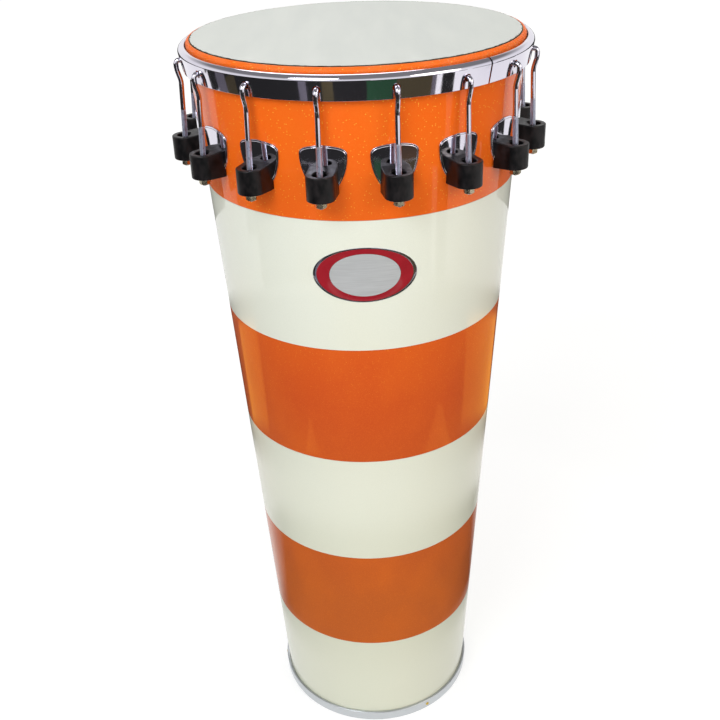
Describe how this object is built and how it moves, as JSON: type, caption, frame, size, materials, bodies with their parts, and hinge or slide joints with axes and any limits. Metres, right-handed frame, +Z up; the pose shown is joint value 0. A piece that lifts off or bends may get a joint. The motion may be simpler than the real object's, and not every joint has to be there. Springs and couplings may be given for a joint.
{
  "type": "timbal drum",
  "caption": "Tall tapering timbal with a plastic head under a chromed counterhoop, hooks drawn by nuts under black lugs, and bands of two colours.",
  "frame": {"origin": "centre of the foot, on the surface that the drum stands on", "axes": "+Z up through the head, along the shell's axis; -Y is the front; the stations lie at 11.25 degrees either side of it and every 22.5 degrees from there"},
  "size_m": [0.4022, 0.4022, 0.9008],
  "materials": {
    "shell_wood": "bare laminated wood, inside only",
    "laminate_orange": "high-gloss laminate with fine gold glitter",
    "laminate_white": "gloss pearl laminate",
    "head_film": "coated polyester film, clear at its collar",
    "chrome": "bright chrome plate on steel",
    "zinc": "bright zinc plate",
    "ring_aluminium": "satin rolled aluminium",
    "lug_black": "moulded black plastic with a satin skin"
  },
  "bodies": {
    "shell": {"shell": "shell_wood", "wrap_1_white": "laminate_white", "wrap_2_orange": "laminate_orange", "wrap_3_white": "laminate_white", "wrap_4_orange": "laminate_orange", "wrap_5_white": "laminate_white", "wrap_6_orange": "laminate_orange", "bottom_ring": "ring_aluminium", "lug_01": "lug_black", "lug_02": "lug_black", "lug_03": "lug_black", "lug_04": "lug_black", "lug_05": "lug_black", "lug_06": "lug_black", "lug_07": "lug_black", "lug_08": "lug_black", "lug_09": "lug_black", "lug_10": "lug_black", "lug_11": "lug_black", "lug_12": "lug_black", "lug_13": "lug_black", "lug_14": "lug_black", "lug_15": "lug_black", "lug_16": "lug_black"},
    "tension_hoop": {"counterhoop": "chrome", "flesh_hoop": "ring_aluminium", "head_film": "head_film", "hook_01": "chrome", "hook_02": "chrome", "hook_03": "chrome", "hook_04": "chrome", "hook_05": "chrome", "hook_06": "chrome", "hook_07": "chrome", "hook_08": "chrome", "hook_09": "chrome", "hook_10": "chrome", "hook_11": "chrome", "hook_12": "chrome", "hook_13": "chrome", "hook_14": "chrome", "hook_15": "chrome", "hook_16": "chrome"},
    "nut_01": {"nut_01": "zinc"},
    "nut_02": {"nut_02": "zinc"},
    "nut_03": {"nut_03": "zinc"},
    "nut_04": {"nut_04": "zinc"},
    "nut_05": {"nut_05": "zinc"},
    "nut_06": {"nut_06": "zinc"},
    "nut_07": {"nut_07": "zinc"},
    "nut_08": {"nut_08": "zinc"},
    "nut_09": {"nut_09": "zinc"},
    "nut_10": {"nut_10": "zinc"},
    "nut_11": {"nut_11": "zinc"},
    "nut_12": {"nut_12": "zinc"},
    "nut_13": {"nut_13": "zinc"},
    "nut_14": {"nut_14": "zinc"},
    "nut_15": {"nut_15": "zinc"},
    "nut_16": {"nut_16": "zinc"}
  },
  "joints": [
    {"name": "tuning_travel", "type": "slide", "parent": "shell", "child": "tension_hoop", "axis": [0, 0, 1], "range_m": [0, 0.006]},
    {"name": "nut_01_turn", "type": "hinge", "parent": "shell", "child": "nut_01", "pos_m": [0.03744, -0.18824, 0.77793], "axis": [-0.0088, 0.0445, 0.999], "range_deg": [-2160, 0]},
    {"name": "nut_02_turn", "type": "hinge", "parent": "shell", "child": "nut_02", "pos_m": [0.10663, -0.15958, 0.77793], "axis": [-0.0252, 0.0377, 0.999], "range_deg": [-2160, 0]},
    {"name": "nut_03_turn", "type": "hinge", "parent": "shell", "child": "nut_03", "pos_m": [0.15958, -0.10663, 0.77793], "axis": [-0.0377, 0.0252, 0.999], "range_deg": [-2160, 0]},
    {"name": "nut_04_turn", "type": "hinge", "parent": "shell", "child": "nut_04", "pos_m": [0.18824, -0.03744, 0.77793], "axis": [-0.0445, 0.0088, 0.999], "range_deg": [-2160, 0]},
    {"name": "nut_05_turn", "type": "hinge", "parent": "shell", "child": "nut_05", "pos_m": [0.18824, 0.03744, 0.77793], "axis": [-0.0445, -0.0088, 0.999], "range_deg": [-2160, 0]},
    {"name": "nut_06_turn", "type": "hinge", "parent": "shell", "child": "nut_06", "pos_m": [0.15958, 0.10663, 0.77793], "axis": [-0.0377, -0.0252, 0.999], "range_deg": [-2160, 0]},
    {"name": "nut_07_turn", "type": "hinge", "parent": "shell", "child": "nut_07", "pos_m": [0.10663, 0.15958, 0.77793], "axis": [-0.0252, -0.0377, 0.999], "range_deg": [-2160, 0]},
    {"name": "nut_08_turn", "type": "hinge", "parent": "shell", "child": "nut_08", "pos_m": [0.03744, 0.18824, 0.77793], "axis": [-0.0088, -0.0445, 0.999], "range_deg": [-2160, 0]},
    {"name": "nut_09_turn", "type": "hinge", "parent": "shell", "child": "nut_09", "pos_m": [-0.03744, 0.18824, 0.77793], "axis": [0.0088, -0.0445, 0.999], "range_deg": [-2160, 0]},
    {"name": "nut_10_turn", "type": "hinge", "parent": "shell", "child": "nut_10", "pos_m": [-0.10663, 0.15958, 0.77793], "axis": [0.0252, -0.0377, 0.999], "range_deg": [-2160, 0]},
    {"name": "nut_11_turn", "type": "hinge", "parent": "shell", "child": "nut_11", "pos_m": [-0.15958, 0.10663, 0.77793], "axis": [0.0377, -0.0252, 0.999], "range_deg": [-2160, 0]},
    {"name": "nut_12_turn", "type": "hinge", "parent": "shell", "child": "nut_12", "pos_m": [-0.18824, 0.03744, 0.77793], "axis": [0.0445, -0.0088, 0.999], "range_deg": [-2160, 0]},
    {"name": "nut_13_turn", "type": "hinge", "parent": "shell", "child": "nut_13", "pos_m": [-0.18824, -0.03744, 0.77793], "axis": [0.0445, 0.0088, 0.999], "range_deg": [-2160, 0]},
    {"name": "nut_14_turn", "type": "hinge", "parent": "shell", "child": "nut_14", "pos_m": [-0.15958, -0.10663, 0.77793], "axis": [0.0377, 0.0252, 0.999], "range_deg": [-2160, 0]},
    {"name": "nut_15_turn", "type": "hinge", "parent": "shell", "child": "nut_15", "pos_m": [-0.10663, -0.15958, 0.77793], "axis": [0.0252, 0.0377, 0.999], "range_deg": [-2160, 0]},
    {"name": "nut_16_turn", "type": "hinge", "parent": "shell", "child": "nut_16", "pos_m": [-0.03744, -0.18824, 0.77793], "axis": [0.0088, 0.0445, 0.999], "range_deg": [-2160, 0]}
  ],
  "couplings": [
    {"joint": "nut_01_turn", "follows": "tuning_travel", "rad_per_m": -6283.2},
    {"joint": "nut_02_turn", "follows": "tuning_travel", "rad_per_m": -6283.2},
    {"joint": "nut_03_turn", "follows": "tuning_travel", "rad_per_m": -6283.2},
    {"joint": "nut_04_turn", "follows": "tuning_travel", "rad_per_m": -6283.2},
    {"joint": "nut_05_turn", "follows": "tuning_travel", "rad_per_m": -6283.2},
    {"joint": "nut_06_turn", "follows": "tuning_travel", "rad_per_m": -6283.2},
    {"joint": "nut_07_turn", "follows": "tuning_travel", "rad_per_m": -6283.2},
    {"joint": "nut_08_turn", "follows": "tuning_travel", "rad_per_m": -6283.2},
    {"joint": "nut_09_turn", "follows": "tuning_travel", "rad_per_m": -6283.2},
    {"joint": "nut_10_turn", "follows": "tuning_travel", "rad_per_m": -6283.2},
    {"joint": "nut_11_turn", "follows": "tuning_travel", "rad_per_m": -6283.2},
    {"joint": "nut_12_turn", "follows": "tuning_travel", "rad_per_m": -6283.2},
    {"joint": "nut_13_turn", "follows": "tuning_travel", "rad_per_m": -6283.2},
    {"joint": "nut_14_turn", "follows": "tuning_travel", "rad_per_m": -6283.2},
    {"joint": "nut_15_turn", "follows": "tuning_travel", "rad_per_m": -6283.2},
    {"joint": "nut_16_turn", "follows": "tuning_travel", "rad_per_m": -6283.2}
  ]
}
